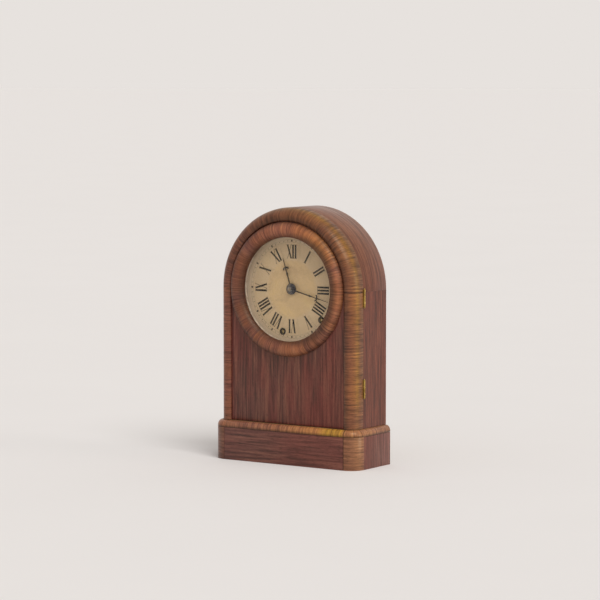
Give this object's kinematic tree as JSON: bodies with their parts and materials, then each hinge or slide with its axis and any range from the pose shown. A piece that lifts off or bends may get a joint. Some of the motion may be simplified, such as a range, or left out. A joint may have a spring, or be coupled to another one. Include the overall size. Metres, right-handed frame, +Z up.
{
  "type": "shelf clock",
  "caption": "Round-top wooden shelf clock: hinged glazed door with a turned bezel, painted dial, sprung striking movement, pendulum and coiled gong on a stepped plinth.",
  "frame": {"origin": "middle of the underside of the plinth", "axes": "+Z up; -Y is the front with the dial; +X is to the right as seen from the front, where the hinges are"},
  "size_m": [0.232, 0.085, 0.343],
  "materials": {
    "rosewood": "polished rosewood veneer, dark reddish brown",
    "crossband": "polished cross-banded veneer with amber lights",
    "pine": "plain softwood",
    "brass": "lightly aged",
    "steel": "bright steel",
    "blued_steel": "dark blued steel",
    "dial_paint": "cream paint with black numerals",
    "glass": "clear",
    "iron": "black"
  },
  "bodies": {
    "case": {"base_front": "rosewood", "base_side_left": "rosewood", "base_side_right": "rosewood", "base_moulding_front": "crossband", "base_moulding_left": "crossband", "base_moulding_right": "crossband", "floor_board": "pine", "base_back_rail": "pine", "back_board": "pine", "case_arch": "rosewood", "case_side_left": "rosewood", "case_side_right": "rosewood", "hinge_lower_case_leaf": "brass", "hinge_lower_pin": "brass", "hinge_upper_case_leaf": "brass", "hinge_upper_pin": "brass", "latch_screw": "brass", "dial_plate": "dial_paint", "grommet_time": "iron", "grommet_strike": "iron", "front_plate": "brass", "back_plate": "brass", "movement_cleat_left": "pine", "movement_cleat_right": "pine", "time_mainspring": "steel", "strike_mainspring": "steel", "suspension_post": "brass", "gong": "blued_steel", "gong_block": "iron"},
    "door": {"arch_moulding": "crossband", "stile_left": "crossband", "stile_right": "crossband", "door_panel": "rosewood", "door_bottom_rail": "rosewood", "dial_bezel": "crossband", "door_glass": "glass", "glass_bead": "pine", "hinge_lower_door_leaf": "brass", "hinge_upper_door_leaf": "brass", "latch_pin": "brass"},
    "latch": {"latch_hook": "brass"},
    "centre_arbor": {"centre_wheel": "brass", "minute_hand": "blued_steel", "hand_nut": "brass"},
    "time_main_arbor": {"time_main_wheel": "brass"},
    "time_second_arbor": {"time_second_wheel": "brass"},
    "fourth_arbor": {"fourth_wheel": "brass"},
    "escape_arbor": {"escape_wheel": "brass"},
    "minute_work": {"minute_wheel": "brass"},
    "hour_work": {"hour_wheel": "brass", "hour_hand": "blued_steel"},
    "strike_main_arbor": {"strike_main_wheel": "brass"},
    "strike_second_arbor": {"strike_second_wheel": "brass"},
    "strike_third_arbor": {"strike_third_wheel": "brass"},
    "fly_arbor": {"fly": "brass"},
    "verge_piece": {"verge": "steel"},
    "pendulum": {"pendulum_rod": "steel", "pendulum_bob": "brass", "rating_nut": "brass"},
    "hammer_arbor": {"hammer": "steel"}
  },
  "joints": [
    {"name": "door_swing", "type": "hinge", "parent": "case", "child": "door", "pos_m": [0.1108, -0.01365, 0.166], "axis": [0, 0, 1], "range_deg": [0, 120]},
    {"name": "latch_turn", "type": "hinge", "parent": "case", "child": "latch", "pos_m": [-0.11, -0.0035, 0.15], "axis": [1, 0, 0], "range_deg": [0, 270]},
    {"name": "minute_turn", "type": "hinge", "parent": "case", "child": "centre_arbor", "pos_m": [0, 0, 0.234], "axis": [0, 1, 0], "continuous": true},
    {"name": "time_main_turn", "type": "hinge", "parent": "case", "child": "time_main_arbor", "pos_m": [0.0471, 0, 0.1948], "axis": [0, 1, 0], "continuous": true},
    {"name": "time_second_turn", "type": "hinge", "parent": "case", "child": "time_second_arbor", "pos_m": [0.0225, 0, 0.2153], "axis": [0, 1, 0], "continuous": true},
    {"name": "fourth_turn", "type": "hinge", "parent": "case", "child": "fourth_arbor", "pos_m": [-0.00534, 0, 0.25945], "axis": [0, 1, 0], "continuous": true},
    {"name": "escape_turn", "type": "hinge", "parent": "case", "child": "escape_arbor", "pos_m": [-0.028, 0, 0.27], "axis": [0, 1, 0], "continuous": true},
    {"name": "minute_wheel_turn", "type": "hinge", "parent": "case", "child": "minute_work", "pos_m": [0.0106, 0, 0.2234], "axis": [0, 1, 0], "continuous": true},
    {"name": "hour_turn", "type": "hinge", "parent": "case", "child": "hour_work", "pos_m": [0, 0, 0.234], "axis": [0, 1, 0], "continuous": true},
    {"name": "strike_third_turn", "type": "hinge", "parent": "case", "child": "strike_third_arbor", "pos_m": [-0.046, 0, 0.223], "axis": [0, 1, 0], "continuous": true},
    {"name": "strike_second_turn", "type": "hinge", "parent": "case", "child": "strike_second_arbor", "pos_m": [-0.038, 0, 0.197], "axis": [0, 1, 0], "continuous": true},
    {"name": "strike_main_turn", "type": "hinge", "parent": "case", "child": "strike_main_arbor", "pos_m": [-0.0146, 0, 0.1765], "axis": [0, 1, 0], "continuous": true},
    {"name": "fly_turn", "type": "hinge", "parent": "case", "child": "fly_arbor", "pos_m": [-0.034, 0, 0.242], "axis": [0, 1, 0], "continuous": true},
    {"name": "pendulum_swing", "type": "hinge", "parent": "case", "child": "pendulum", "pos_m": [-0.028, -0.009, 0.2891], "axis": [0, 1, 0], "range_deg": [-2.5, 2.5]},
    {"name": "verge_rock", "type": "hinge", "parent": "case", "child": "verge_piece", "pos_m": [-0.028, -0.005, 0.2891], "axis": [0, 1, 0], "range_deg": [-2.6, 2.6]},
    {"name": "hammer_lift", "type": "hinge", "parent": "case", "child": "hammer_arbor", "pos_m": [-0.044, 0, 0.158], "axis": [0, 1, 0], "range_deg": [0, 12]}
  ],
  "couplings": [
    {"joint": "time_main_turn", "follows": "minute_turn", "ratio": 0.041667},
    {"joint": "time_second_turn", "follows": "minute_turn", "ratio": -0.25},
    {"joint": "fourth_turn", "follows": "minute_turn", "ratio": -10},
    {"joint": "escape_turn", "follows": "minute_turn", "ratio": 100},
    {"joint": "minute_wheel_turn", "follows": "minute_turn", "ratio": -0.33333},
    {"joint": "hour_turn", "follows": "minute_turn", "ratio": 0.083333},
    {"joint": "strike_second_turn", "follows": "strike_third_turn", "ratio": -0.16667},
    {"joint": "strike_main_turn", "follows": "strike_third_turn", "ratio": 0.027778},
    {"joint": "fly_turn", "follows": "strike_third_turn", "ratio": -6},
    {"joint": "verge_rock", "follows": "pendulum_swing", "ratio": 1}
  ]
}
